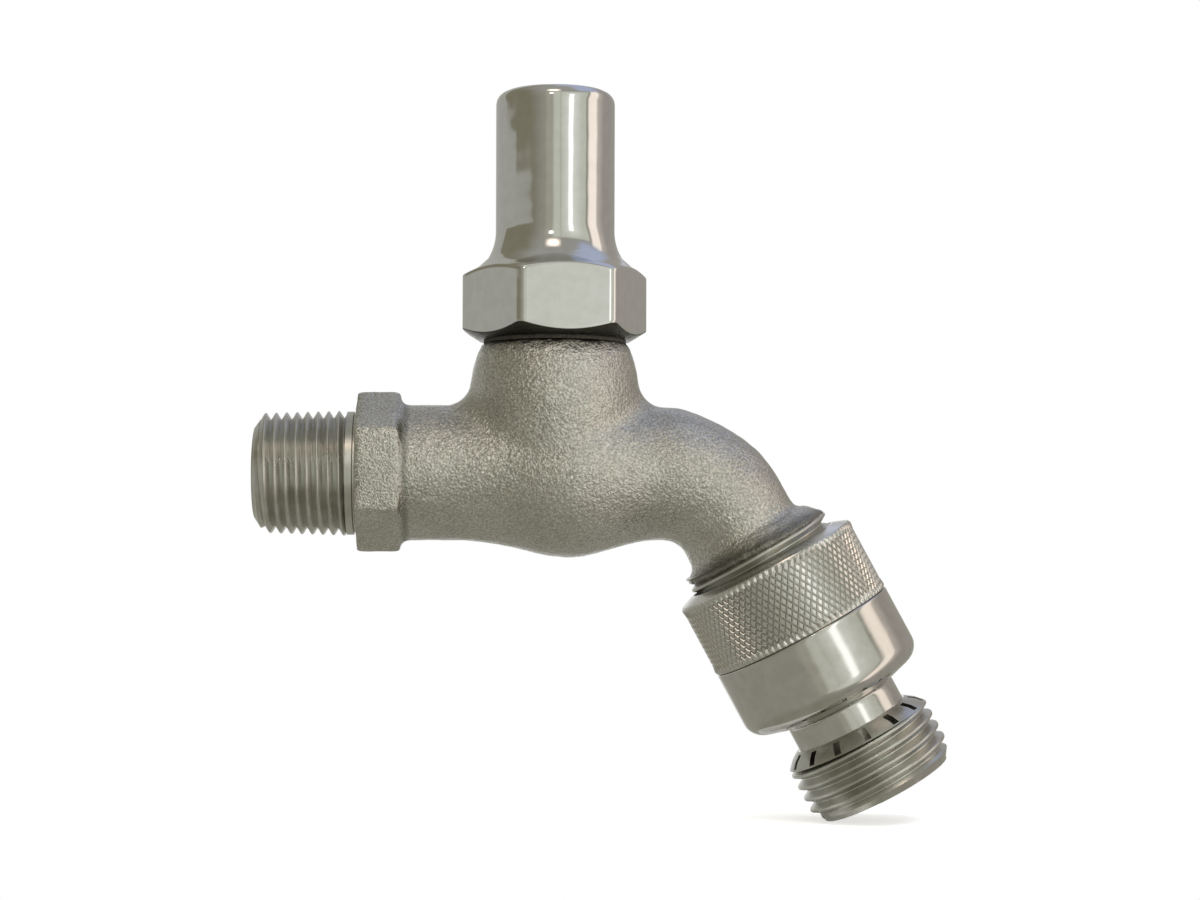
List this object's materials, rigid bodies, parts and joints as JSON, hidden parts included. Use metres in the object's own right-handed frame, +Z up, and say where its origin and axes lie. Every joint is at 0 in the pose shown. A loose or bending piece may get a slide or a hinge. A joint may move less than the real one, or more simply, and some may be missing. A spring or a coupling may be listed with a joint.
{
  "type": "hose bibb",
  "caption": "Loose-key hose bibb with a lock shield round the stem square, a bent spout and a hose-connection vacuum breaker.",
  "frame": {"origin": "on the inlet axis, at the shoulder of the cast wrench hex where the pipe thread's collar starts", "axes": "+X from the pipe towards the spout, +Z up along the stem, the casting symmetric about Y = 0"},
  "size_m": [0.1203, 0.033, 0.1266],
  "materials": {
    "cast_body": "rough sand casting under a satin plate, pale warm grey",
    "polished_plate": "polished and plated brass",
    "knurled_plate": "knurled and plated brass",
    "turned_brass": "turned",
    "steel": "stainless",
    "rubber": "matt black",
    "graphite": "pressed graphite packing",
    "fibre": "pressed fibre sheet",
    "valve_plastic": "moulded acetal"
  },
  "bodies": {
    "root": {"body_casting": "cast_body", "seat_ring": "turned_brass", "bonnet": "polished_plate", "bonnet_gasket": "fibre", "packing_washer": "turned_brass", "stem_packing": "graphite", "packing_gland": "turned_brass", "packing_nut": "turned_brass", "coupling_ring": "knurled_plate", "set_screw": "steel", "snap_ring": "steel", "hose_washer": "rubber", "breaker_body": "polished_plate", "check_seat": "valve_plastic", "seat_seal": "rubber", "spacer_ring": "valve_plastic", "diaphragm": "rubber", "vent_tube": "valve_plastic", "tube_seal": "rubber", "poppet_spring": "steel"},
    "disc": {"disc_holder": "turned_brass", "seat_washer": "rubber", "washer_screw": "turned_brass"},
    "stem": {"stem": "turned_brass"},
    "poppet": {"check_poppet": "valve_plastic", "poppet_seal": "rubber"}
  },
  "joints": [
    {"name": "stem_lift", "type": "slide", "parent": "root", "child": "disc", "axis": [0, 0, 1], "range_m": [0, 0.006]},
    {"name": "stem_turn", "type": "hinge", "parent": "disc", "child": "stem", "pos_m": [0.03426, 0, 0.04], "axis": [0, 0, 1], "range_deg": [0, 1080]},
    {"name": "poppet_slide", "type": "slide", "parent": "root", "child": "poppet", "axis": [0.4772, 0, -0.8788], "range_m": [0, 0.0022], "stiffness_N_per_m": 300, "springref_m": -0.001, "deforming": ["poppet_spring"]}
  ],
  "couplings": [
    {"joint": "stem_turn", "follows": "stem_lift", "rad_per_m": 3141.6}
  ]
}
